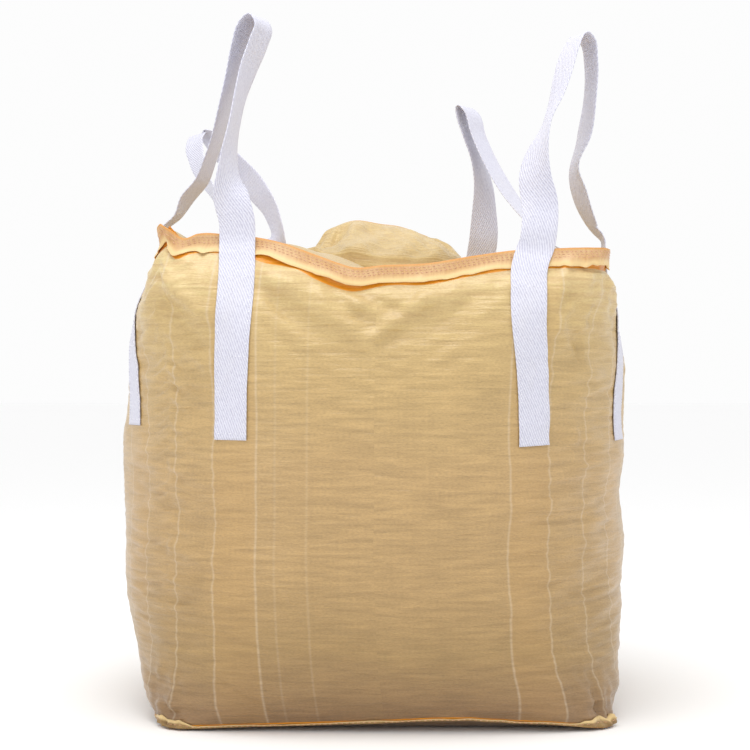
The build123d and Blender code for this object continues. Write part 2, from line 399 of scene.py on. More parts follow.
@dataclass(frozen=True)
class WovenTapeCloth:
    """Woven polypropylene tape cloth, dyed sand yellow and laminated on the circular loom.

    Flat tapes about 2.5 mm wide give a faint ladder of lines; the film over them makes it
    satin, with small crinkles across the bag that catch the light. White marker yarns run up
    the tube beside each doubled band.
    """

    name: str = "woven_tape_cloth"
    # Colours from the foot of the bag to its top, height and colour: painted shade darkens the foot and
    # painted light brightens the top.
    light_and_shade_tones: tuple = ((0.00, "#87694A"), (0.16, "#A08355"), (0.30, "#B09162"), (0.50, "#B69768"),
                    (0.68, "#BC9F6C"), (0.82, "#C6AB76"), (0.95, "#D8BF8C"))
    band: str = "#BD9150"
    # Painted shade: deep orange for the slots under the hem's loose edge and at the foot.
    painted_slot_shade: str = "#E0901E"
    tape: float = 0.0050  # twice the real 2.5 mm, which is too fine to show
    crinkle: float = 0.0100
    markers: tuple[float, ...] = (-0.331, -0.235, 0.272, 0.366, -0.431)
    faint_markers: tuple[float, ...] = (-0.196, -0.132)

    def build(self) -> bpy.types.Material:
        """The material. It reads the piece's cloth map, in metres round the tube and up.

        The place across a wall is the girth with whole walls taken off, so that it runs from
        minus half a wall to half a wall.
        """
        f = Finish(self.name)
        uv = f.add("ShaderNodeUVMap", {"uv_map": "cloth"}).outputs[0]
        girth = f.add("ShaderNodeSeparateXYZ", in0=uv).outputs[0]
        u = f.math("WRAP", girth, -0.5 * WALL, 0.5 * WALL)
        v = f.add("ShaderNodeAttribute", {"attribute_name": "height"}).outputs["Fac"]
        marked = f.add("ShaderNodeAttribute", {"attribute_name": "marked"}).outputs["Fac"]
        warp = f.noise(uv, (9.0, 9.0, 1.0), 2.0)
        crinkle = f.noise(uv, (11.0, 1.0 / self.crinkle, 1.0), 3.5, 0.3)
        broad = f.noise(uv, (2.2, 5.0, 1.0), 3.0)
        streak = f.noise(uv, (120.0, 1.2, 1.0), 2.0)
        glint_flecks = f.noise(uv, (160.0, 420.0, 1.0), 2.0)
        rung = f.add("ShaderNodeTexWave", {"wave_type": "BANDS", "bands_direction": "Y"},
                     Vector=uv, Scale=1.0 / self.tape / 6.3, Distortion=0.6, Detail=1.0,
                     Detail_Scale=3.0).outputs["Fac"]
        # Height in the bag: painted light makes it lighter and yellower above, painted shade makes it
        # browner below.
        tone = f.ramp(f.math("ADD", v, f.math("MULTIPLY_ADD", broad, 0.12, -0.06)), self.light_and_shade_tones)
        # Painted highlight and shade: the crinkles, which also make the bump, lighter on their ridges
        # and darker in their hollows.
        tone = f.mix(0.6, tone, f.ramp(crinkle, [(0.28, 0.38), (0.5, 0.5), (0.72, 0.62)]), "OVERLAY")
        tone = f.mix(0.12, tone, f.ramp(streak, [(0.3, 0.42), (0.7, 0.58)]), "OVERLAY")
        # Painted highlights: fine light flecks, with dark ones between, that also go into the bump.
        tone = f.mix(0.28, tone, f.ramp(glint_flecks, [(0.30, 0.30), (0.5, 0.5), (0.70, 0.66)]), "OVERLAY")
        lines = None
        for place, strength in ([(m, 0.27) for m in self.markers]
                                + [(m, 0.10) for m in self.faint_markers]):
            off = f.math("ABSOLUTE", f.math("SUBTRACT", f.math("MULTIPLY_ADD", warp, 0.002, u),
                                            place + 0.001))
            line = f.math("MULTIPLY", f.ramp(off, [(0.0010, 1.0), (0.0026, 0.0)]), strength)
            lines = line if lines is None else f.math("MAXIMUM", lines, line)
        banded = None
        for low, high in (self.markers[0:2], self.markers[2:4]):
            off = f.math("ABSOLUTE", f.math("SUBTRACT", u, 0.5 * (low + high)))
            within = f.math("LESS_THAN", off, 0.5 * (high - low))
            banded = within if banded is None else f.math("MAXIMUM", banded, within)
        banded = f.math("MULTIPLY", banded, marked)
        tone = f.mix(f.math("MULTIPLY", banded, 0.13), tone, linear(self.band))
        worn = f.math("MULTIPLY", lines, f.ramp(crinkle, [(0.3, 0.55), (0.6, 1.0)]))
        tone = f.mix(f.math("MULTIPLY", worn, marked), tone, linear("#E2D6C2"))
        # Painted shade: deep orange in the slot under the hem's loose edge, along the wall's foot,
        # round the panel's rim and at the spout's foot.
        slot = f.add("ShaderNodeAttribute", {"attribute_name": "slot"}).outputs["Fac"]
        tone = f.mix(f.ramp(slot, [(0.47, 1.0), (0.55, 0.0)]), tone, linear(self.painted_slot_shade))
        height = f.math("MULTIPLY_ADD", rung, 0.06, f.math("MULTIPLY", crinkle, 0.9))
        height = f.math("MULTIPLY_ADD", glint_flecks, 0.07, height)
        normal = f.add("ShaderNodeBump", None, Strength=0.9, Distance=0.0046,
                       Height=height).outputs[0]
        rough = f.ramp(broad, [(0.3, 0.27), (0.7, 0.40)])
        return f.finish(tone, rough, normal, Specular_IOR_Level=0.45, Sheen_Weight=0.12,
                        Sheen_Roughness=0.4)


@dataclass(frozen=True)
class HemCloth:
    """The same cloth folded over and sewn: doubled, so deeper in colour, with tapes end on."""

    name: str = "folded_hem_cloth"
    light: str = "#D3B083"
    dark: str = "#C49762"
    tape: float = 0.0045  # the real 2.5 mm tape is too fine to show

    def build(self) -> bpy.types.Material:
        """The material, on the piece's cloth map: along the hem, and down it, in metres."""
        f = Finish(self.name)
        uv = f.add("ShaderNodeUVMap", {"uv_map": "cloth"}).outputs[0]
        v = f.add("ShaderNodeSeparateXYZ", in0=uv).outputs[1]
        tape = f.noise(uv, (1.0 / self.tape, 8.0, 1.0), 2.0)
        patch = f.noise(uv, (14.0, 30.0, 1.0), 3.0)
        tone = f.ramp(patch, [(0.3, self.dark), (0.68, self.light)])
        tone = f.mix(0.5, tone, f.ramp(tape, [(0.3, 0.38), (0.7, 0.62)]), "OVERLAY")
        # Bright, hard-pressed lower fold.
        edge = f.ramp(v, [(0.0225, 0.0), (0.0245, 1.0)])
        tone = f.mix(f.math("MULTIPLY", edge, 0.75), tone, linear("#E9CC92"))
        fold = f.ramp(v, [(0.0006, 1.0), (0.0022, 0.0)])
        tone = f.mix(f.math("MULTIPLY", fold, 0.8), tone, linear("#D08A2E"))
        height = f.math("MULTIPLY_ADD", patch, 1.5, tape)
        normal = f.add("ShaderNodeBump", None, Strength=0.45, Distance=0.0015,
                       Height=height).outputs[0]
        return f.finish(tone, 0.45, normal, Specular_IOR_Level=0.4, Sheen_Weight=0.1)


@dataclass(frozen=True)
class TwillWebbing:
    """Flat polypropylene lifting webbing, woven as twill: slanting ridges, soft satin gloss."""

    name: str = "polypropylene_twill_webbing"
    light: str = "#DBDBE7"
    dark: str = "#BEBDCF"
    ridge: float = 0.0048  # the real ridges of 3 mm are too fine to show

    def build(self) -> bpy.types.Material:
        """The material, on the strip's cloth map: across it, and along it, in metres."""
        f = Finish(self.name)
        uv = f.add("ShaderNodeUVMap", {"uv_map": "cloth"}).outputs[0]
        turned = f.add("ShaderNodeMapping", Vector=uv, Rotation=(0.0, 0.0, math.radians(24.0)))
        twill = f.add("ShaderNodeTexWave", {"wave_type": "BANDS", "bands_direction": "X"},
                      Vector=turned.outputs[0], Scale=1.0 / self.ridge / 3.2, Distortion=1.4,
                      Detail=2.0, Detail_Scale=2.5).outputs["Fac"]
        knots = f.noise(uv, (230.0, 150.0, 1.0), 2.0)
        soil = f.noise(uv, (12.0, 6.0, 1.0), 3.0)
        body = f.math("MULTIPLY_ADD", knots, 1.5, twill)
        tone = f.ramp(f.math("MULTIPLY", body, 0.5), [(0.30, self.dark), (0.80, self.light)])
        tone = f.mix(f.math("MULTIPLY", f.ramp(soil, [(0.45, 0.0), (0.8, 1.0)]), 0.20), tone,
                     linear("#D9D3C4"))
        normal = f.add("ShaderNodeBump", None, Strength=0.55, Distance=0.0014,
                       Height=body).outputs[0]
        return f.finish(tone, 0.52, normal, Specular_IOR_Level=0.35, Sheen_Weight=0.2)


@dataclass(frozen=True)
class SewingThread:
    """Twisted polypropylene sewing thread, slightly glossy, with the twist as a fine slant."""

    name: str
    colour: str
    dark: str
    twist: float = 0.0016

    def build(self) -> bpy.types.Material:
        """The material, on object coordinates."""
        f = Finish(self.name)
        place = f.add("ShaderNodeTexCoord").outputs["Object"]
        ply = f.add("ShaderNodeTexWave", {"wave_type": "BANDS", "bands_direction": "DIAGONAL"},
                    Vector=place, Scale=1.0 / self.twist / 6.3, Distortion=0.5).outputs["Fac"]
        tone = f.ramp(ply, [(0.2, self.dark), (0.8, self.colour)])
        normal = f.add("ShaderNodeBump", None, Strength=0.4, Distance=0.0004, Height=ply).outputs[0]
        return f.finish(tone, 0.5, normal)


@dataclass(frozen=True)
class DryGrains:
    """A dry mineral load in grains of a few millimetres, matt and dusty."""

    name: str = "dry_mineral_grains"
    grain: float = 0.006

    def build(self) -> bpy.types.Material:
        """The material, on object coordinates."""
        f = Finish(self.name)
        place = f.add("ShaderNodeTexCoord").outputs["Object"]
        cells = f.add("ShaderNodeTexVoronoi", None, Vector=place, Scale=1.0 / self.grain)
        # Painted shade: each grain lighter in its middle and darker towards the gaps between grains.
        tone = f.ramp(cells.outputs["Distance"], [(0.1, "#B3A690"), (0.7, "#6E6452")])
        normal = f.add("ShaderNodeBump", {"invert": True}, Strength=0.8, Distance=0.002,
                       Height=cells.outputs["Distance"]).outputs[0]
        return f.finish(tone, 0.9, normal)


@dataclass(frozen=True)
class StudioFloor:
    """Plain pale painted floor."""

    name: str = "pale_painted_floor"
    colour: str = "#FDFDFD"

    def build(self) -> bpy.types.Material:
        """The material."""
        return Finish(self.name).finish(linear(self.colour), 0.9, None)


# ---------------------------------------------------------------------------------------------
# The bag's form
# ---------------------------------------------------------------------------------------------


@dataclass(frozen=True)
class BagForm:
    """The full bag as a rounded square section that swells from the base and draws in at the hem."""

    base_half: float = 0.435
    belly_half: float = 0.545
    top_half: float = 0.437
    belly_z: float = 0.526
    neck_z: float = 0.950
    base_corner: float = 0.045
    belly_corner: float = 0.440
    top_corner: float = 0.055
    # Height, share of the width and shift to the right: this bag leans to its left.
    lean: tuple = ((0.0, 1.005, -0.004), (0.06, 1.000, -0.010), (0.125, 0.972, -0.018),
                   (0.24, 0.965, -0.023), (0.34, 0.960, -0.027), (0.50, 0.962, -0.025),
                   (0.61, 0.957, -0.026), (0.71, 0.955, -0.024), (0.80, 0.948, -0.022),
                   (0.855, 0.950, -0.018), (0.90, 0.957, -0.015), (0.935, 0.982, -0.009),
                   (0.96, 1.000, -0.004))

    def rise(self, z: Array) -> Array:
        """0 at base and neck, 1 at the belly: 1-(1-z/b)^4.5 below it and 1-((z-b)/(n-b))^3 above."""
        z = np.asarray(z, float)
        low = 1 - np.clip(1 - z / self.belly_z, 0, 1) ** 4.5
        high = 1 - np.clip((z - self.belly_z) / (self.neck_z - self.belly_z), 0, 1) ** 3
        return np.where(z <= self.belly_z, low, high)

    def half(self, z: Array) -> Array:
        """Half of the section's width at a height."""
        end = np.where(np.asarray(z) <= self.belly_z, self.base_half, self.top_half)
        return end + (self.belly_half - end) * self.rise(z)

    def corner(self, z: Array) -> Array:
        """Corner radius of the section at a height; above the belly it tightens as rise^2."""
        low = np.asarray(z) <= self.belly_z
        end = np.where(low, self.base_corner, self.top_corner)
        return end + (self.belly_corner - end) * self.rise(z) ** np.where(low, 1.0, 2.0)

    def wall_point(self, share: Array, z: Array) -> tuple[Array, Array, Array, Array]:
        """A point of the front wall's section, at a share of its half length from its middle.

        The section is a straight run and then half of a corner's arc, spaced by arc length.

        Args:
            share: -1 at the left corner, 0 in the middle, 1 at the right corner.
            z: height.

        Returns:
            x and y, the outward direction's angle from -Y, and the arc length from the middle.
        """
        a, r = self.half(z), self.corner(z)
        length = share * (a - r + r * math.pi / 4)
        turn = np.clip((np.abs(length) - (a - r)) / r, 0, None)
        bent = turn > 0
        x = np.sign(length) * np.where(bent, a - r + r * np.sin(turn), np.abs(length))
        y = np.where(bent, -a + r * (1 - np.cos(turn)), -a)
        return x, y, np.sign(length) * turn, length

    def around(self, lap: Array, z: Array) -> tuple[Array, Array, Array]:
        """Points round the whole section.

        Args:
            lap: place round the tube, 0 to 4, whole numbers in the middle of the walls.
            z: height, same shape.

        Returns:
            Points, outward unit vectors, and the arc length from the nearest wall's middle.
        """
        side = np.floor(lap + 0.5)
        x, y, turn, length = self.wall_point(2 * (lap - side), z)
        angle = side * math.pi / 2
        cos, sin = np.cos(angle), np.sin(angle)
        points = np.stack([x * cos - y * sin, x * sin + y * cos, z + 0 * x], -1)
        lean = smooth_line(self.lean, points[..., 2])
        points[..., 0] = points[..., 0] * lean[..., 0] + lean[..., 1]
        nx, ny = np.sin(turn), -np.cos(turn)
        outward = np.stack([nx * cos - ny * sin, nx * sin + ny * cos, 0 * x], -1)
        return points, outward, length


@dataclass(frozen=True)
class TopEdge:
    """Heights of the top edge along the four walls, as knots from each wall's left to its right."""

    front: tuple = ((-1.0, 0.983), (-0.965, 0.970), (-0.925, 0.955), (-0.86, 0.963),
                    (-0.72, 0.962), (-0.60, 0.957), (-0.50, 0.949), (-0.27, 0.917), (-0.19, 0.905),
                    (-0.12, 0.896), (0.02, 0.900), (0.2, 0.903), (0.42, 0.919), (0.58, 0.929),
                    (0.8, 0.934), (1.0, 0.936))
    right: tuple = ((-1.0, 0.936), (-0.6, 0.930), (-0.2, 0.904), (0.1, 0.899), (0.5, 0.920),
                    (1.0, 0.936))
    back: tuple = ((-1.0, 0.936), (-0.6, 0.932), (-0.2, 0.912), (0.1, 0.905), (0.5, 0.930),
                   (1.0, 0.955))
    left: tuple = ((-1.0, 0.955), (-0.6, 0.946), (-0.1, 0.906), (0.2, 0.908), (0.6, 0.948),
                   (0.93, 0.962), (1.0, 0.983))

    def heights(self, lap: Array) -> Array:
        """Height of the edge at each place round the tube."""
        lap = np.asarray(lap, float) % 4.0
        side = np.floor(lap + 0.5)
        share = 2 * (lap - side)
        out = np.zeros_like(lap)
        for wall, knots in zip(Side, (self.front, self.right, self.back, self.left)):
            mask = side.astype(int) % 4 == wall.value
            out[mask] = smooth_line(knots, share[mask])
        return out


@dataclass(frozen=True)
class Fold:
    """A ridge or valley pressed into a wall: a line on it, with a bell-shaped section.

    The height falls off across the line as exp(-(d / width)^2), and to nothing at its ends.
    """

    start: tuple[float, float]
    end: tuple[float, float]
    width: float
    height: float
    side: Side = Side.FRONT

    def over(self, along: Array, up: Array) -> Array:
        """Outward height of the fold at places along the wall and up it, in metres."""
        a, b = np.array(self.start), np.array(self.end)
        run = b - a
        length = np.hypot(*run)
        x, y = along - a[0], up - a[1]
        t = (x * run[0] + y * run[1]) / length
        d = (x * run[1] - y * run[0]) / length
        fade = smoothstep(-0.25 * length, 0.2 * length, t) * (
            1 - smoothstep(0.8 * length, 1.25 * length, t))
        return self.height * np.exp(-((d / self.width) ** 2)) * fade


FOLDS = (
    # From the left webbing down to the middle, and the crease that turns up from there.
    Fold((-0.250, 0.905), (-0.010, 0.752), 0.026, 0.0085),
    Fold((-0.215, 0.845), (-0.020, 0.722), 0.022, -0.0065),
    Fold((-0.170, 0.900), (0.030, 0.790), 0.018, 0.0050),
    Fold((-0.120, 0.872), (0.045, 0.812), 0.012, -0.0045),
    Fold((-0.010, 0.755), (0.100, 0.834), 0.014, 0.0060),
    Fold((0.000, 0.742), (0.120, 0.800), 0.016, -0.0050),
    Fold((0.060, 0.872), (0.230, 0.800), 0.030, 0.0045),
    # The pocket beside the top left corner.
    Fold((-0.460, 0.842), (-0.360, 0.742), 0.022, -0.0120),
    Fold((-0.440, 0.872), (-0.345, 0.800), 0.020, 0.0090),
    Fold((-0.400, 0.935), (-0.350, 0.850), 0.018, 0.0060),
    Fold((-0.395, 0.760), (-0.330, 0.690), 0.018, 0.0060),
    # Creases by the right-hand webbing.
    Fold((0.352, 0.900), (0.420, 0.820), 0.014, -0.0065),
    Fold((0.380, 0.915), (0.360, 0.800), 0.012, 0.0060),
    Fold((0.430, 0.870), (0.365, 0.770), 0.013, 0.0060),
    Fold((0.395, 0.800), (0.460, 0.730), 0.015, -0.0055),
    # Low marks.
    Fold((-0.325, 0.112), (-0.225, 0.052), 0.005, -0.0030),
    Fold((0.170, 0.285), (0.335, 0.205), 0.014, 0.0028),
    Fold((0.300, 0.640), (0.460, 0.560), 0.020, 0.0045),
    Fold((-0.470, 0.520), (-0.330, 0.480), 0.014, 0.0040),
    Fold((-0.480, 0.360), (-0.340, 0.330), 0.014, 0.0040),
    # The other walls.
    Fold((-0.250, 0.880), (0.020, 0.740), 0.026, 0.0080, Side.RIGHT),
    Fold((0.260, 0.880), (0.060, 0.760), 0.022, 0.0065, Side.RIGHT),
    Fold((0.230, 0.860), (-0.040, 0.730), 0.026, 0.0080, Side.BACK),
    Fold((-0.260, 0.890), (-0.080, 0.780), 0.020, 0.0065, Side.BACK),
    Fold((-0.230, 0.870), (0.010, 0.750), 0.024, 0.0075, Side.LEFT),
    Fold((0.270, 0.900), (0.080, 0.790), 0.020, 0.0065, Side.LEFT),
)


@dataclass
class BodyTube:
    """The woven tube, its folds and crinkles, and what follows its edges."""

    form: BagForm = field(default_factory=BagForm)
    edge: TopEdge = field(default_factory=TopEdge)
    columns: int = 416
    rows: int = 236
    hem: float = 0.034
    # Middle lines of the sewn legs on the front, right, back and left walls.
    leg_places: tuple = ((-0.287, 0.310), (-0.269, 0.300), (-0.251, 0.273), (-0.300, 0.291))
    # The wall's lower edge, and the width of the slot under the hem's loose edge, dented in and
    # coloured with painted shade, along each wall.
    foot_line: tuple = ((-1.0, 0.006), (-0.62, 0.012), (-0.03, 0.021), (0.36, 0.027),
                        (0.58, 0.021), (0.75, 0.018), (1.0, 0.006))
    slot_line: tuple = ((-1.0, 0.004), (-0.92, 0.005), (-0.80, 0.002), (-0.62, 0.003),
                        (-0.50, 0.009), (-0.42, 0.005), (-0.36, 0.003), (-0.28, 0.009),
                        (-0.15, 0.011), (-0.03, 0.006), (0.05, 0.003), (0.2, 0.005), (0.4, 0.003),
                        (0.6, 0.002), (1.0, 0.004))

    def along_wall(self, knots: Sequence[Sequence[float]], lap: Array) -> Array:
        """A line given by knots along each wall, at places round the tube."""
        return smooth_line(knots, off_middle(np.asarray(lap)))

    def lap_of(self, side: Side, along: float, z: float) -> float:
        """Place round the tube of a point that is that far along a wall at a height."""
        a, r = float(self.form.half(z)), float(self.form.corner(z))
        length = a - r + r * math.pi / 4
        flat = a - r
        x = abs(along)
        arc = x if x <= flat else flat + r * math.asin(min(1.0, (x - flat) / r))
        return side.value + 0.5 * math.copysign(arc / length, along)

    def bumps(self, lap: Array, z: Array, length: Array, top: Array) -> Array:
        """How far the cloth stands out of the smooth form.

        It is the sum of soft random waves of falling size, the pressed folds, pleats that run
        out of the four base corners and of the hem, and a dent under the hem's loose edge.

        Args:
            lap: place round the tube.
            z: height.
            length: arc length from the middle of the wall.
            top: height of the top edge there.
        """
        shape, size = lap.shape, (1.0, GIRTH)
        side = np.floor(lap + 0.5).astype(int) % 4
        outer = smoothstep(0.20, 0.42, np.abs(length))
        below = top - z
        slot = self.along_wall(self.slot_line, lap)
        fine = cloth_noise(shape, size, (0.016, 0.10), 11)
        middling = cloth_noise(shape, size, (0.045, 0.16), 12)
        broad = cloth_noise(shape, size, (0.20, 0.40), 13)
        bands = cloth_noise(shape, size, (0.021, 0.20), 14, -5.0)
        pleats = cloth_noise(shape, size, (0.30, 0.036), 15)
        falling = cloth_noise(shape, size, (0.042, 0.20), 16, 36.0)
        rising = cloth_noise(shape, size, (0.042, 0.20), 17, -36.0)
        crumple = cloth_noise(shape, size, (0.030, 0.034), 18)
        quiet = 1 - 0.75 * np.exp(-((below - 0.02) / 0.03) ** 2)
        out = 0.00075 * fine * (0.6 + 0.9 * outer)
        out += 0.0014 * middling * (0.35 + 0.9 * outer)
        out += 0.0030 * broad * quiet
        out += 0.0019 * bands * outer * smoothstep(0.05, 0.2, z) * (1 - smoothstep(0.72, 0.86, z))
        rightward = smoothstep(-0.08, 0.12, length)
        upper = smoothstep(0.62, 0.86, z) * smoothstep(0.035, 0.07, below)
        out += 0.0027 * upper * (falling * (1 - rightward) + rising * rightward)
        near_hem = np.exp(-((below / 0.10) ** 2)) * smoothstep(0.035, 0.06, below)
        out += 0.0026 * pleats * near_hem + 0.0016 * crumple * near_hem
        corner = smoothstep(0.345, 0.425, np.abs(length))
        foot = np.exp(-((z / 0.085) ** 2)) * smoothstep(0.004, 0.03, z)
        out += foot * corner * (0.0040 * pleats + 0.0042 * crumple)
        out += 0.0014 * pleats * np.exp(-((z / 0.05) ** 2)) * smoothstep(0.0, 0.03, z)
        for fold in FOLDS:
            mine = side == fold.side.value
            out[mine] += 1.5 * fold.over(length[mine], z[mine])
        out -= (0.004 + 0.5 * slot) * np.exp(-((below - self.hem - 0.5 * slot) / 0.012) ** 2)
        out += 0.0040 * np.exp(-((below - self.hem - slot - 0.026) / 0.018) ** 2)
        for number, places in enumerate(self.leg_places):
            for place in places:
                under = np.exp(-((length - place) / 0.048) ** 4) * smoothstep(0.52, 0.60, z)
                out *= 1 - 0.85 * under * (side == number)
        return out

    def surface(self) -> tuple[Array, Array, Array, Array, Array]:
        """The wall's grid.

        Returns:
            Points, outward vectors, cloth map, height of the top edge, and height up the wall.
        """
        lap = laps(self.columns)
        share = np.linspace(0, 1, self.rows)
        rows, lap_grid = np.meshgrid(share, lap, indexing="ij")
        top = np.broadcast_to(self.edge.heights(lap) - 0.0015, rows.shape)
        foot = self.along_wall(self.foot_line, lap)
        z = foot + rows * (top - foot)
        points, outward, length = self.form.around(lap_grid, z)
        points = points + outward * self.bumps(lap_grid, z, length, top)[..., None]
        girth = np.arange(self.columns + 1) * GIRTH / self.columns
        tall = np.concatenate([z, z[:, :1]], 1)
        uv = np.stack([np.broadcast_to(girth, tall.shape), tall], -1)
        return points, outward, uv, top, z

    def at(self, lap: Array, z: Array) -> tuple[Array, Array]:
        """Points and outward unit vectors on the finished wall, from its grid, by interpolation."""
        points, outward, _, top, _ = self.grid
        lap = np.asarray(lap, float) % 4.0
        c0, c1, cf = between(lap, self.columns)
        edge = top[0, c0] * (1 - cf[..., 0]) + top[0, c1] * cf[..., 0]
        foot = self.along_wall(self.foot_line, lap)
        row = np.clip((np.asarray(z) - foot) / (edge - foot), 0, 1) * (self.rows - 1)
        r0 = np.clip(np.floor(row).astype(int), 0, self.rows - 2)
        rf = (row - r0)[..., None]

        def pick(values: Array) -> Array:
            """The values at those places."""
            low = values[r0, c0] * (1 - cf) + values[r0, c1] * cf
            high = values[r0 + 1, c0] * (1 - cf) + values[r0 + 1, c1] * cf
            return low * (1 - rf) + high * rf

        over = np.maximum(np.asarray(z) - edge, 0)[..., None] * UP
        return pick(points) + over, unit(pick(outward))

    def build(self, cloth: bpy.types.Material) -> None:
        """Makes the tube's mesh and dresses it."""
        self.grid = self.surface()
        points, _, uv, top, z = self.grid
        piece = grid_mesh("woven_body_tube", points, uv, round_columns=True)
        lap = np.broadcast_to(laps(self.columns), z.shape)
        # Painted shade in the slot under the hem and along the wall's foot.
        past = top - z - self.hem - self.along_wall(self.slot_line, lap)
        above_foot = z - self.along_wall(self.foot_line, lap)
        dress(piece, z, np.minimum(past, above_foot - 0.003), marked=True)
        piece.data.materials.append(cloth)
        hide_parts("body_tube")
        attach(piece, "bag")
        LOG.info("body tube: %d points", points.size // 3)


@dataclass
class TopHem:
    """The cloth folded over along the top edge, sewn by its upper half, its lower edge loose."""

    tube: BodyTube
    height: float = 0.034
    cloth: float = 0.0015
    columns: int = 832
    rows_down: tuple[float, ...] = (0.0060, 0.0110, 0.0160)
    stitch: float = 0.0078
    pitch: float = 0.0095
    thread: float = 0.0014
    ear: float = 0.022

    def flare(self, lap: Array) -> Array:
        """How far the loose edge stands off the wall, from its own slow random waves."""
        wave = hem_waves(self.columns, 0.11, 21)[3]
        slow = np.interp(lap % 4.0, laps(self.columns), wave)
        slot = self.tube.along_wall(self.tube.slot_line, lap)
        return 0.0024 + 0.45 * slot + 0.0014 * np.clip(slow, -1.5, 2.2)

    def build(self, cloth: bpy.types.Material, thread: bpy.types.Material) -> None:
        """Makes the band and its rows of stitches.

        The section is a thin hook over the edge: down inside, over the top, down outside to the
        loose edge and back up behind it. Its outer face stands off by the flare, which
        grows with about the square of the share of the way down.
        """
        lap = laps(self.columns)
        top = self.tube.edge.heights(lap)
        uneven = hem_waves(self.columns, 0.07, 22)[3]
        crimp = hem_waves(self.columns, 0.022, 23)[3]
        by_corner = smoothstep(0.62, 0.9, np.abs(off_middle(lap)))
        flare = self.flare(lap) + 0.0020 * crimp * by_corner
        depth = self.height + 0.0012 * uneven + crimp * (0.0004 + 0.0014 * by_corner)
        t = self.cloth
        down = np.array([0.30, 0.10, 0.00, -0.04, 0.00, 0.10, 0.28, 0.5, 0.7, 0.86, 0.97, 1.0,
                         0.98, 0.86, 0.6, 0.35])
        off = np.array([-2.6, -2.6, -2.2, 0.0, 1.9, 2.2, 2.2, 2.2, 2.2, 2.2, 2.2, 1.6,
                        1.0, 0.9, 0.7, 0.4]) * t
        flared = np.where(np.arange(len(down)) >= 4, np.clip(down, 0, 1) ** 2.2, 0)
        z = top[None] - down[:, None] * depth[None]
        base, outward = self.tube.at(np.broadcast_to(lap, z.shape), np.minimum(z, top[None] - 0.002))
        # The band hangs straight from the edge, so only the wall's place at the edge counts above.
        edge_point, _ = self.tube.at(lap, top - 0.012)
        inward = np.einsum("rck,rck->rc", base - edge_point[None], outward)
        base = base - outward * (np.minimum(inward, 0.004) * 0.6)[..., None]
        points = base + outward * (off[:, None] + flared[:, None] * flare[None])[..., None]
        # The corners stand out in small ears, the front left one most.
        off_corner = lap - np.floor(lap) - 0.5
        size = np.where(np.floor(lap) == 3, self.ear, 0.3 * self.ear)
        ear = size * np.exp(-((off_corner / 0.030) ** 2)) * (1 - 0.8 * np.clip(down, 0, 1)[:, None])
        points = points + outward * ear[..., None]
        points[..., 2] = z
        uv = map_of(np.append(lap * WALL, GIRTH), np.append(down, down[:1]) * self.height)
        band = grid_mesh("top_hem_band", points, uv, round_columns=True, round_rows=True, flip=True)
        band.data.materials.append(cloth)
        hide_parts("top_hem")
        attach(band, "bag")
        # Stitches on the outer face.
        first = np.arange(0, GIRTH - self.pitch / 2, self.pitch) / WALL
        starts, ends, outs = [], [], []
        for number, row in enumerate(self.rows_down):
            share = row / self.height
            a = first + number * 0.0031
            for places, keep in ((a, starts), (a + self.stitch / WALL, ends)):
                keep.append(self.on_band(points, places, share))
            _, out = self.tube.at(a, self.tube.edge.heights(a) - row)
            outs.append(out)
        seam = stitches("top_hem_stitches", np.concatenate(starts), np.concatenate(ends),
                        np.concatenate(outs), self.thread)
        seam.data.materials.append(thread)
        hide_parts("top_hem_stitching")
        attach(seam, "bag")
        LOG.info("top hem and %d stitches", len(first) * len(self.rows_down))

    def on_band(self, points: Array, lap: Array, share: float) -> Array:
        """Points on the band's outer face, by interpolation between its outer rows 4 to 7."""
        shares = np.array([0.0, 0.10, 0.28, 0.5])
        row = 4 + np.interp(share, shares, np.arange(4))
        r0, rf = int(row), row - int(row)
        c0, c1, cf = between(np.asarray(lap) % 4.0, self.columns)
        low = points[r0, c0] * (1 - cf) + points[r0, c1] * cf
        high = points[r0 + 1, c0] * (1 - cf) + points[r0 + 1, c1] * cf
        return low * (1 - rf) + high * rf


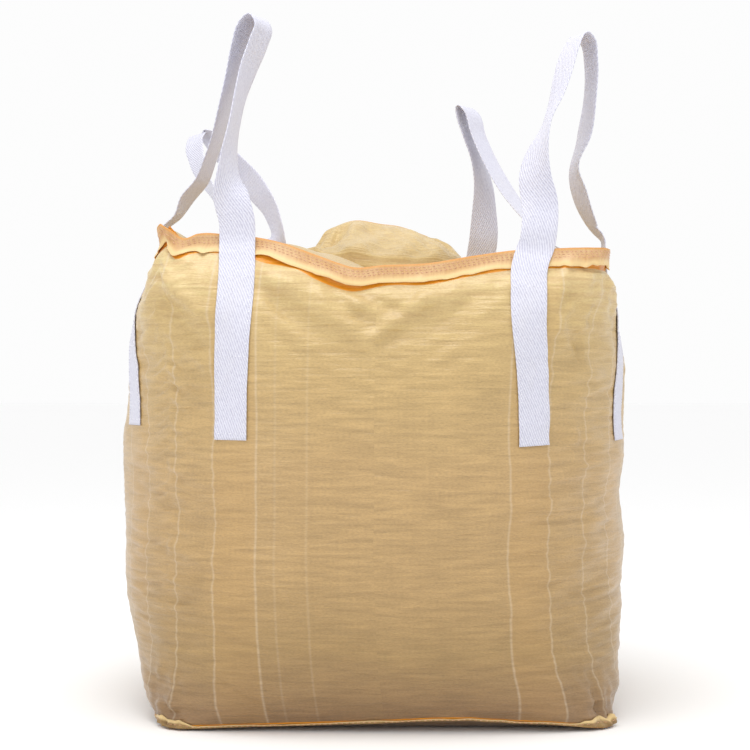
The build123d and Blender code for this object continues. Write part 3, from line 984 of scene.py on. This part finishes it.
@dataclass
class Webbing:
    """One length of lifting webbing: a leg sewn down each side of a corner and the loop between.

    The strip follows knots of place and width direction. Its section is a thin rectangle with
    rounded long edges.
    """

    name: str
    tube: BodyTube
    corner: tuple[int, int]
    face: Side
    flank: Side
    ends: tuple[float, float]
    fold: float
    # Distance of each leg from the middle of its wall: at the hem and at its lower end.
    face_off: tuple[float, float]
    flank_off: tuple[float, float]
    knots: Knots
    width: float = 0.070
    thick: float = 0.0026
    stations: int = 300

    def leg(self, side: Side, sign: int, off: tuple[float, float], low: float,
            high: float) -> tuple[Array, Array, Array]:
        """Points, width directions and outward directions of a leg, from its lower end up."""
        z = np.linspace(low, high, 24)
        place = sign * (off[1] + (off[0] - off[1]) * smoothstep(low, high, z))
        spread = 0.033
        lap, left, right = (np.array([self.tube.lap_of(side, float(a) + shift, float(h))
                                      for a, h in zip(place, z)])
                            for shift in (0.0, -spread, spread))
        (middle, out), (a, _), (b, _) = (self.tube.at(p, z) for p in (lap, left, right))
        edge = self.tube.edge.heights(lap)
        over_hem = smoothstep(-0.052, -0.032, z - edge)
        middle = (a + b) / 4 + middle / 2
        middle = middle + out * (0.0026 + 0.0060 * over_hem)[:, None]
        return middle, unit(b - a), out

    def build(self, web: bpy.types.Material, thread: bpy.types.Material) -> None:
        """Makes the strip from leg to leg and the sewn boxes on its legs."""
        sx, sy = self.corner
        face_sign = {Side.FRONT: sx, Side.BACK: -sx}[self.face]
        flank_sign = {Side.RIGHT: sy, Side.LEFT: -sy}[self.flank]
        lift = 0.006
        top = self.fold + lift
        a_mid, a_wide, a_out = self.leg(self.face, face_sign, self.face_off, self.ends[0], top)
        b_mid, b_wide, b_out = self.leg(self.flank, flank_sign, self.flank_off, self.ends[1], top)
        toward = np.array([sx, sy, 0.0])
        a_wide = a_wide * np.sign((a_wide @ toward))[:, None]
        b_wide = b_wide * np.sign((b_wide @ toward))[:, None]
        free = np.array([k[:3] for k in self.knots])
        free_wide = unit(np.array([(k[3], k[4], 0.0) for k in self.knots]))
        path = np.concatenate([a_mid, free, b_mid[::-1]])
        wide = np.concatenate([a_wide, free_wide, b_wide[::-1]])
        run = np.concatenate([[0], np.cumsum(np.linalg.norm(np.diff(path, axis=0), axis=1))])
        at = np.linspace(0, run[-1], self.stations)
        table = np.column_stack([run, path, wide])
        line = smooth_line(table, at)
        kernel = np.array([1, 2, 3, 2, 1.0]) / 9
        padded = np.pad(line, ((2, 2), (0, 0)), mode="edge")
        blurred = sum(kernel[i] * padded[i:i + len(line)] for i in range(5))
        line[2:-2] = blurred[2:-2]
        centre, across = line[:, :3], line[:, 3:]
        heading = unit(np.gradient(centre, axis=0))
        across = unit(across - heading * np.einsum("nk,nk->n", across, heading)[:, None])
        thick = unit(np.cross(heading, across))
        section = self.section()
        points = (centre[:, None] + across[:, None] * section[None, :, :1]
                  + thick[:, None] * section[None, :, 1:])
        count = len(section)
        u = np.concatenate([section[:, 0], section[:1, 0]]) * sx * sy
        uv = np.stack(np.broadcast_arrays(u[None], at[:, None]), -1)
        strip = grid_mesh(f"{self.name}_webbing", points, uv, round_columns=True)
        close_ends(strip, self.stations, count)
        strip.data.materials.append(web)
        face, place = self.face.name.lower(), self.name
        legs = (f"{place}_leg_{face}", f"{place}_leg_side")
        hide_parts(*legs, f"{place}_loop")
        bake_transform(strip)
        for leg, middle, sideways, out in ((legs[0], a_mid, a_wide, a_out),
                                           (legs[1], b_mid, b_wide, b_out)):
            self.sew(leg, middle, sideways, out, thread)
        LOG.info("%s webbing: %.2f m long", place, run[-1])

    def section(self) -> Array:
        """The section's outline: flat faces of 8 steps, with half-round long edges."""
        half, t = self.width / 2 - self.thick / 2, self.thick / 2
        flat = np.linspace(-half, half, 9)
        turn = np.linspace(-math.pi / 2, math.pi / 2, 5)[1:-1]
        lower = np.column_stack([flat, np.full(9, -t)])
        right = np.column_stack([half + t * np.cos(turn), t * np.sin(turn)])
        upper = np.column_stack([flat[::-1], np.full(9, t)])
        left = np.column_stack([-half - t * np.cos(turn), -t * np.sin(turn)])
        return np.concatenate([lower, right, upper, left])

    def sew(self, leg: str, middle: Array, sideways: Array, out: Array,
            thread: bpy.types.Material) -> None:
        """Two rows of stitches down the leg's edges and three across it."""
        inset, pitch, stitch = self.width / 2 - 0.006, 0.0085, 0.0055
        run = np.concatenate([[0], np.cumsum(np.linalg.norm(np.diff(middle, axis=0), axis=1))])
        last = run[-1] - 0.115
        starts, ends, outs = [], [], []

        def place(along: Array, shift: Array) -> tuple[Array, Array]:
            """Points on the webbing's face, and outward directions there."""
            pick = [np.stack([np.interp(along, run, v[:, k]) for k in range(3)], -1)
                    for v in (middle, sideways, out)]
            return pick[0] + pick[1] * shift[:, None] + pick[2] * self.thick / 2, pick[2]

        rows = []
        for shift in (-inset, inset):
            along = np.arange(0.012, last, pitch)
            edge = np.full(len(along), shift)
            rows.append((along, edge, along + stitch, edge))
        for level in (0.012, 0.16, last):
            shift = np.arange(-inset, inset - stitch, pitch)
            height = np.full(len(shift), level)
            rows.append((height, shift, height, shift + stitch))
        for a, s, b, t in rows:
            start, way = place(a, s)
            end, _ = place(b, t)
            starts.append(start)
            ends.append(end)
            outs.append(way)
        seam = stitches(f"{leg}_stitches", np.concatenate(starts), np.concatenate(ends),
                        np.concatenate(outs), 0.0013)
        seam.data.materials.append(thread)
        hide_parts(f"{leg}_stitching")
        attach(seam, "bag")


@dataclass
class TopPanel:
    """The square of cloth sewn in under the hem, crowned by the load."""

    tube: BodyTube
    rings: int = 56
    columns: int = 312
    crown: float = 0.914

    def height(self, x: Array, y: Array, edge: Array, share: Array) -> Array:
        """The panel's height: the edge's height outside, easing to a crown with slack waves."""
        ease = smoothstep(0.0, 1.0, 1 - share)
        waves = (0.006 * np.sin(9 * x + 4 * y + 0.6) * np.sin(7 * y - 3 * x)
                 + 0.0035 * np.sin(23 * x - 11 * y) * np.sin(17 * y + 8 * x + 1.1)
                 + 0.0020 * np.sin(41 * x + 29 * y + 0.4))
        sink = 0.012 * np.exp(-((share - 0.93) / 0.07) ** 2)
        return edge * (1 - ease) + self.crown * ease + waves * smoothstep(1.0, 0.9, share) - sink

    def build(self, cloth: bpy.types.Material) -> None:
        """Makes the panel: rings from the hem to the middle, each a shrunk copy of the edge.

        The outermost rings keep the edge's own folds, and the rest follow the smooth form.
        """
        lap = laps(self.columns)
        edge_z = self.tube.edge.heights(lap) - 0.004
        rim, outward = self.tube.at(lap, edge_z)
        plain, _, _ = self.tube.form.around(lap, edge_z)
        share = np.linspace(1.0, 0.012, self.rings)[:, None]
        kept = smoothstep(0.93, 1.0, share)[..., None]
        flat = rim * kept + plain * (1 - kept) - outward * (0.0035 + 0.004 * (1 - kept))
        x, y = flat[..., 0] * share, flat[..., 1] * share
        z = self.height(x, y, edge_z[None], share)
        points = np.stack([x, y, z], -1)
        centre = points[-1].mean(0)
        points = np.concatenate([points, np.broadcast_to(centre, (1, self.columns, 3))])
        uv = points[..., :2] + 1.0
        uv = np.concatenate([uv, uv[:, :1]], 1)
        panel = grid_mesh("top_panel_cloth", points, uv, round_columns=True)
        spread = np.concatenate([np.broadcast_to(share, x.shape), np.zeros((1, self.columns))])
        # Tone of the painted light and shade ramp at 0.80, and painted shade round the rim under the
        # hem.
        dress(panel, 0.80 + 0 * spread, (0.992 - spread) * 0.4)
        panel.data.materials.append(cloth)
        weld(panel)
        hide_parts("top_panel")
        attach(panel, "bag")
        LOG.info("top panel")


def weld(piece: bpy.types.Object) -> None:
    """Merges points that lie on each other, such as those of a pole."""
    work = bmesh.new()
    work.from_mesh(piece.data)
    bmesh.ops.remove_doubles(work, verts=work.verts, dist=1e-6)
    work.to_mesh(piece.data)
    work.free()


@dataclass
class FillingSpout:
    """The spout of thin cloth, slumped onto the panel, its mouth hem leaning up out of it."""

    x: float = -0.028
    radius: float = 0.195
    mouth_half: float = 0.106
    mouth_depth: float = 0.011
    hem: float = 0.018
    columns: int = 300
    rows: int = 60

    def mouth(self, turn: Array) -> Array:
        """The mouth's line: a flattened ring, high on the left and falling to the right."""
        x = self.x + 0.012 + self.mouth_half * np.cos(turn)
        y = 0.010 + self.mouth_depth * np.sin(turn) + 0.008 * np.sin(14 * x)
        z = smooth_line(((-0.125, 1.008), (-0.090, 1.021), (-0.060, 1.0265), (0.0, 1.0185),
                         (0.060, 1.006), (0.095, 0.994)), x)
        return np.stack([x, y, z + 0.0015 * np.sin(60 * x)], -1)

    def wall(self, turn: Array, share: Array) -> Array:
        """The spout's wall between its seam (share 0) and its mouth (share 1).

        The place runs straight from seam to mouth, pushed out by a bulge of sin(pi * share),
        and the height eases up: as a low shelf on the left and as a slope on the right, with
        pleats that fade at both ends.
        """
        x0 = self.x + self.radius * np.cos(turn)
        y0 = self.radius * np.sin(turn)
        seat = 0.916 - 0.010 * ((x0 - self.x) ** 2 + y0**2) / self.radius**2
        mouth = self.mouth(turn)
        left = smoothstep(0.1, 0.9, -np.cos(turn))
        ease = share ** (1.15 - 0.35 * left)
        bulge = np.sin(math.pi * np.clip(share, 0, 1) ** 0.8)
        x = x0 + (mouth[..., 0] - x0) * ease + 0.016 * bulge * np.cos(turn)
        y = y0 + (mouth[..., 1] - y0) * ease + 0.020 * bulge * np.sin(turn)
        shelf = 0.44 * smoothstep(0.0, 0.12, share) + 0.56 * smoothstep(0.55, 1.0, share)
        slope = 0.25 * smoothstep(0.0, 0.10, share) + 0.75 * share
        climb = slope * (1 - left) + shelf * left
        z = seat + (mouth[..., 2] - seat) * climb
        pleat = np.sin(7 * turn + 3.0 * share + 1.3 * np.sin(3 * turn)) * 0.0048
        pleat = pleat + 0.0026 * np.sin(13 * turn - 7.0 * share + 0.7)
        pleat = pleat + 0.0008 * np.sin(31 * turn + 17.0 * share)
        fade = smoothstep(0.0, 0.18, share) * (1 - smoothstep(0.80, 1.0, share))
        z = z + pleat * fade
        y = y + 1.2 * pleat * fade * np.sin(turn)
        return np.stack([x, y, z], -1)

    def build(self, cloth: bpy.types.Material, hem_cloth: bpy.types.Material,
              thread: bpy.types.Material) -> None:
        """Makes the wall, the mouth hem, the seam on the panel and their stitches."""
        turn = np.arange(self.columns) * 2 * math.pi / self.columns
        share = np.linspace(0, 1, self.rows)[:, None]
        points = self.wall(turn[None], share)
        length = 2 * math.pi * self.radius
        u = np.linspace(0, length, self.columns + 1)
        uv = map_of(u, share[:, 0] * 0.42)
        wall = grid_mesh("filling_spout_cloth", points, uv, round_columns=True)
        # Tone of the painted light and shade ramp at 0.84, and painted shade at the spout's foot.
        dress(wall, 0.84 + 0 * points[..., 0], np.broadcast_to(share * 0.3 - 0.006, points.shape[:2]))
        wall.data.materials.append(cloth)
        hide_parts("filling_spout")
        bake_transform(wall)
        self.build_mouth(turn, hem_cloth, thread)
        self.build_seam(turn, hem_cloth)
        LOG.info("filling spout")

    def build_mouth(self, turn: Array, cloth: bpy.types.Material, thread: bpy.types.Material) -> None:
        """The mouth's hem: a thin closed band round the mouth, with one row of stitches."""
        line = self.mouth(turn)
        ahead = unit(np.roll(line, -1, 0) - np.roll(line, 1, 0))
        outward = unit(np.cross(ahead, UP))
        down = np.array([0.6, 0.0, -0.02, 0.0, 0.3, 0.6, 0.85, 1.0, 0.95]) * self.hem
        off = np.array([-0.0012, -0.0012, 0.0, 0.0014, 0.0019, 0.0021, 0.0022, 0.0016, 0.0006])
        points = line[None] + outward[None] * off[:, None, None]
        points = points - down[:, None, None] * UP
        uv = map_of(np.linspace(0, 0.6, len(turn) + 1), np.append(down, down[:1]))
        band = grid_mesh("spout_mouth_band", points, uv, round_columns=True, round_rows=True, flip=True)
        band.data.materials.append(cloth)
        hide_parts("spout_mouth_hem")
        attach(band, "spout_mouth")
        place = np.arange(0, len(turn) - 1, 4)
        row = points[5]
        seam = stitches("spout_mouth_stitches", row[place], row[(place + 2) % len(turn)],
                        outward[place], 0.0011)
        seam.data.materials.append(thread)
        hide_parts("spout_mouth_stitching")
        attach(seam, "spout_mouth")

    def build_seam(self, turn: Array, cloth: bpy.types.Material) -> None:
        """The seam's turned edge on the panel: a low round roll about the spout's foot."""
        foot = self.wall(turn[None], np.array([[0.0]]))[0]
        away = unit(foot - np.array([self.x, 0, 0]) - UP * foot[:, 2:])
        around = np.linspace(0, 2 * math.pi, 10, endpoint=False)
        points = (foot[None] + away[None] * (0.003 + 0.005 * np.cos(around))[:, None, None]
                  + UP * (0.0004 + 0.0022 * np.sin(around))[:, None, None])
        uv = map_of(np.linspace(0, 1.25, len(turn) + 1), np.linspace(0, 0.02, 11))
        roll = grid_mesh("spout_seam_roll", points, uv, round_columns=True, round_rows=True)
        roll.data.materials.append(cloth)
        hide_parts("spout_base_seam")
        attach(roll, "bag")


@dataclass
class Base:
    """The base panel, the turned seam round it, and its stitches."""

    tube: BodyTube
    columns: int = 960
    seam: float = 0.0050
    ear: float = 0.013

    def build(self, cloth: bpy.types.Material, shaded_seam_cloth: bpy.types.Material,
              thread: bpy.types.Material) -> None:
        """Makes the three pieces."""
        lap = laps(self.columns)
        rim = self.tube.along_wall(self.tube.foot_line, lap) - 0.0040
        self.build_panel(lap, rim, cloth)
        self.build_seam(lap, rim, shaded_seam_cloth, thread)
        LOG.info("base")

    def build_panel(self, lap: Array, rim: Array, cloth: bpy.types.Material) -> None:
        """The base cloth: flat where it stands, and turned up over its last tenth to its rim."""
        edge, _, _ = self.tube.form.around(lap, rim)
        share = np.array([1.0, 0.99, 0.98, 0.965, 0.95, 0.93, 0.9, 0.8, 0.65, 0.5, 0.35, 0.2, 0.1,
                          0.02, 0.0])[:, None]
        x, y = edge[None, :, 0] * share, edge[None, :, 1] * share
        z = 0.0003 + (rim[None] - 0.0003) * smoothstep(0.88, 1.0, share) + 0 * x
        points = np.stack([x, y, z], -1)
        uv = points[..., :2] + 1.0
        uv = np.concatenate([uv, uv[:, :1]], 1)
        panel = grid_mesh("base_cloth", points, uv, round_columns=True, flip=True)
        # The darkest tone of the ramp, the painted shade of the foot.
        dress(panel, 0.02 + 0 * points[..., 0], 0.01 + 0 * points[..., 0])
        panel.data.materials.append(cloth)
        weld(panel)
        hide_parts("base_panel")
        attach(panel, "bag")

    def build_seam(self, lap: Array, rim: Array, cloth: bpy.types.Material,
                   thread: bpy.types.Material) -> None:
        """The seam: a narrow flap round the foot that widens to crumpled ears at the corners.

        The section is a flat hook, its height the seam's plus the ear's share near a corner.
        Crumples are soft random waves that grow with that share.
        """
        corner = smoothstep(0.84, 0.96, np.abs(off_middle(lap)))
        crush = cloth_noise((16, self.columns), (0.1, GIRTH), (0.040, 0.022), 31)
        wave = hem_waves(self.columns, 0.07, 32, rows=16)[3]
        tall = self.seam * (1 + 0.22 * wave) + self.ear * corner * (1 + 0.25 * crush[3])
        up = np.array([0.02, 0.3, 0.6, 0.85, 0.97, 1.0, 0.97, 0.85, 0.7, 0.5, 0.3, 0.12, 0.0])
        off = np.array([0.0, 0.2, 0.4, 0.6, 0.9, 1.6, 2.3, 2.7, 2.9, 3.0, 2.9, 2.4, 1.2]) * 0.001
        z = rim[None] + up[:, None] * tall[None]
        base, outward = self.tube.at(np.broadcast_to(lap, z.shape), np.maximum(z, 0.006))
        face = smoothstep(0.0009, 0.0020, off)[:, None]
        crumples = (0.0030 + 0.0034 * crush[:len(up)]) * corner[None] * face
        stand = off[:, None] + crumples + 0.0006 * wave[None] * face
        points = base + outward * np.maximum(stand, 0.35 * off[:, None])[..., None]
        points[..., 2] = np.maximum(z, 0.0006)
        uv = map_of(np.linspace(0, GIRTH, self.columns + 1), np.append(up, up[:1]) * 0.036)
        flap = grid_mesh("base_seam_flap", points, uv, round_columns=True, round_rows=True)
        flap.data.materials.append(cloth)
        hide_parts("base_seam_hem")
        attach(flap, "bag")
        place = np.arange(0, self.columns - 3, 3)
        row = points[9]
        seam = stitches("base_seam_stitches", row[place], row[place + 2], outward[9][place], 0.0012)
        seam.data.materials.append(thread)
        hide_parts("base_seam_stitching")
        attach(seam, "bag")


@dataclass
class Load:
    """The load of grains that keeps the bag full, just inside the cloth."""

    form: BagForm
    edge: TopEdge
    inset: float = 0.022
    columns: int = 96
    rows: int = 40

    def build(self, grains: bpy.types.Material) -> None:
        """A closed skin: the bag's form drawn in by the inset, with a flat foot and a top."""
        lap = laps(self.columns)
        top = self.edge.heights(lap) - 0.055
        share = np.linspace(0, 1, self.rows)[:, None]
        z = 0.010 + share * (top[None] - 0.010)
        points, outward, _ = self.form.around(np.broadcast_to(lap, z.shape), z)
        points = points - outward * self.inset
        foot = np.stack([points[0] * (s, s, 1) for s in (0.0, 0.5)])
        crown = []
        for s in (0.8, 0.5, 0.25, 0.0):
            ring = points[-1] * (s, s, 1)
            ring[:, 2] = points[-1][:, 2] * s + 0.905 * (1 - s)
            crown.append(ring)
        points = np.concatenate([foot, points, np.stack(crown)])
        load = grid_mesh("load_of_grains", points, None, round_columns=True)
        weld(load)
        load.data.materials.append(grains)
        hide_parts("bulk_fill")
        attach(load, "bag")
        LOG.info("load")


def webbing(tube: BodyTube) -> list[Webbing]:
    """The four lengths of webbing, with the way each loop stands.

    Each knot is a place of the strip's middle line and the plan direction of its width, from
    the leg on the front or back wall, over the top, to the leg on the side wall.
    """
    front_left = (
        (-0.302, -0.447, 1.030, -1.00, -0.12), (-0.308, -0.443, 1.073, -0.62, -0.78),
        (-0.306, -0.436, 1.128, -0.34, -0.94), (-0.297, -0.428, 1.184, -0.22, -0.98),
        (-0.286, -0.418, 1.242, -0.26, -0.97), (-0.271, -0.408, 1.294, -0.40, -0.92),
        (-0.252, -0.400, 1.345, -0.45, -0.89), (-0.243, -0.396, 1.378, -0.42, -0.91),
        (-0.258, -0.390, 1.398, -0.40, -0.92), (-0.278, -0.384, 1.380, -0.40, -0.92),
        (-0.291, -0.378, 1.342, -0.38, -0.92), (-0.307, -0.370, 1.275, -0.32, -0.95),
        (-0.322, -0.360, 1.216, -0.30, -0.95), (-0.339, -0.348, 1.159, -0.24, -0.97),
        (-0.354, -0.338, 1.119, -0.24, -0.97), (-0.371, -0.326, 1.080, -0.28, -0.96),
        (-0.402, -0.306, 1.045, -0.30, -0.95), (-0.422, -0.298, 1.010, -0.08, -1.00),
    )
    front_right = (
        (0.296, -0.447, 1.020, 1.00, -0.12), (0.286, -0.444, 1.075, 0.85, -0.52),
        (0.292, -0.436, 1.130, 0.50, -0.86), (0.310, -0.424, 1.180, 0.14, -0.99),
        (0.332, -0.412, 1.235, 0.30, -0.95), (0.346, -0.402, 1.285, 0.42, -0.90),
        (0.360, -0.392, 1.330, 0.40, -0.91), (0.380, -0.382, 1.362, 0.30, -0.95),
        (0.396, -0.372, 1.352, 0.28, -0.96), (0.405, -0.362, 1.310, 0.26, -0.96),
        (0.404, -0.352, 1.240, 0.24, -0.97), (0.394, -0.342, 1.170, 0.30, -0.95),
        (0.377, -0.325, 1.110, 0.10, -1.00), (0.386, -0.306, 1.066, 0.30, -0.95),
        (0.401, -0.288, 1.024, 0.26, -0.97), (0.421, -0.272, 0.988, 0.10, -1.00),
    )
    back_left = (
        (-0.262, 0.452, 1.026, -0.55, 0.84), (-0.278, 0.476, 1.090, -0.52, 0.85),
        (-0.318, 0.510, 1.150, -0.72, 0.70), (-0.366, 0.546, 1.205, -0.70, 0.72),
        (-0.412, 0.574, 1.252, -0.70, 0.72), (-0.446, 0.590, 1.286, -0.66, 0.75),
        (-0.466, 0.590, 1.296, -0.60, 0.80), (-0.474, 0.572, 1.278, -0.58, 0.82),
        (-0.466, 0.528, 1.232, -0.50, 0.86), (-0.444, 0.474, 1.180, -0.36, 0.93),
        (-0.412, 0.420, 1.125, -0.22, 0.97), (-0.384, 0.360, 1.062, -0.14, 0.99),
        (-0.394, 0.318, 1.008, -0.06, 1.00),
    )
    back_right = (
        (0.240, 0.448, 1.020, 1.00, 0.10), (0.242, 0.448, 1.090, 0.86, 0.50),
        (0.240, 0.446, 1.150, 0.70, 0.72), (0.226, 0.442, 1.210, 0.52, 0.86),
        (0.204, 0.438, 1.268, 0.46, 0.89), (0.188, 0.434, 1.318, 0.46, 0.89),
        (0.188, 0.430, 1.342, 0.50, 0.87), (0.206, 0.424, 1.330, 0.56, 0.83),
        (0.226, 0.414, 1.270, 0.56, 0.83), (0.256, 0.400, 1.200, 0.60, 0.80),
        (0.296, 0.376, 1.126, 0.62, 0.78), (0.342, 0.346, 1.060, 0.52, 0.85),
        (0.392, 0.316, 1.000, 0.24, 0.97),
    )
    return [
        Webbing("front_left", tube, (-1, -1), Side.FRONT, Side.LEFT, (0.566, 0.589), 0.977,
                (0.287, 0.285), (0.290, 0.292), front_left),
        Webbing("front_right", tube, (1, -1), Side.FRONT, Side.RIGHT, (0.554, 0.558), 0.957,
                (0.300, 0.320), (0.272, 0.266), front_right),
        Webbing("back_left", tube, (-1, 1), Side.BACK, Side.LEFT, (0.566, 0.589), 0.977,
                (0.262, 0.285), (0.300, 0.300), back_left),
        Webbing("back_right", tube, (1, 1), Side.BACK, Side.RIGHT, (0.554, 0.558), 0.957,
                (0.240, 0.262), (0.300, 0.300), back_right),
    ]


@dataclass
class Studio:
    """Plain floor, soft lights and the camera."""

    camera_at: Vec3 = (-0.024, -3.940, 0.690)
    lens: float = 86.5
    floor_half: float = 40.0
    floor_z: float = -0.0005
    sky: float = 0.98

    def lamp(self, name: str, place: Vec3, look: Vec3, size: float, watts: float) -> None:
        """One square soft light that looks at a point."""
        light = bpy.data.lights.new(name, "AREA")
        light.shape, light.size, light.energy = "SQUARE", size, watts
        made = bpy.data.objects.new(name, light)
        made.location = place
        way = np.array(look) - np.array(place)
        yaw = math.atan2(-way[0], way[1])
        pitch = math.atan2(math.hypot(way[0], way[1]), -way[2])
        made.rotation_euler = (pitch, 0, yaw)
        bpy.context.scene.collection.objects.link(made)

    def build(self) -> None:
        """Makes the floor, the lights, the sky and the camera."""
        half, low = self.floor_half, self.floor_z
        corners = np.array([[[-half, -half, low], [half, -half, low]],
                            [[-half, half, low], [half, half, low]]])
        floor = grid_mesh("studio_floor", corners, None, smooth=False)
        floor.data.materials.append(StudioFloor().build())
        self.lamp("overhead_softbox", (-0.3, -0.9, 3.6), (0, 0, 0.7), 2.2, 50)
        self.lamp("front_fill", (-2.4, -3.4, 2.4), (0, 0, 0.7), 2.2, 16)
        self.lamp("side_fill", (3.2, -2.0, 2.2), (0, 0, 0.7), 2.0, 7)
        world = bpy.data.worlds.new("studio")
        world.use_nodes = True
        world.node_tree.nodes["Background"].inputs[0].default_value = (1, 1, 1, 1)
        world.node_tree.nodes["Background"].inputs[1].default_value = self.sky
        bpy.context.scene.world = world
        lens = bpy.data.cameras.new("front_camera")
        lens.lens, lens.sensor_width = self.lens, 36.0
        camera = bpy.data.objects.new("front_camera", lens)
        camera.location = self.camera_at
        camera.rotation_euler = (math.pi / 2, 0, 0)
        bpy.context.scene.collection.objects.link(camera)
        bpy.context.scene.camera = camera
        bpy.context.scene.view_settings.view_transform = "Standard"


def main() -> None:
    """Builds the bag from the tube outwards, then the studio."""
    logging.basicConfig(level=logging.INFO, format="%(name)s: %(message)s")
    cloth = WovenTapeCloth().build()
    hem_cloth = HemCloth().build()
    web = TwillWebbing().build()
    hem_thread = SewingThread("peach_sewing_thread", "#DDB092", "#C69070").build()
    web_thread = SewingThread("white_sewing_thread", "#F4F4F8", "#C6C6D2").build()
    tube = BodyTube()
    tube.build(cloth)
    TopHem(tube).build(hem_cloth, hem_thread)
    for length in webbing(tube):
        length.build(web, web_thread)
    TopPanel(tube).build(cloth)
    FillingSpout().build(cloth, hem_cloth, hem_thread)
    # Painted shade: a darker copy of the hem cloth for the seam at the foot.
    shaded_seam_cloth = HemCloth("folded_base_seam_shaded_cloth", "#A98A56", "#7E6034").build()
    Base(tube).build(cloth, shaded_seam_cloth, hem_thread)
    Load(tube.form, tube.edge).build(DryGrains().build())
    Studio().build()


if __name__ == "__main__":
    main()
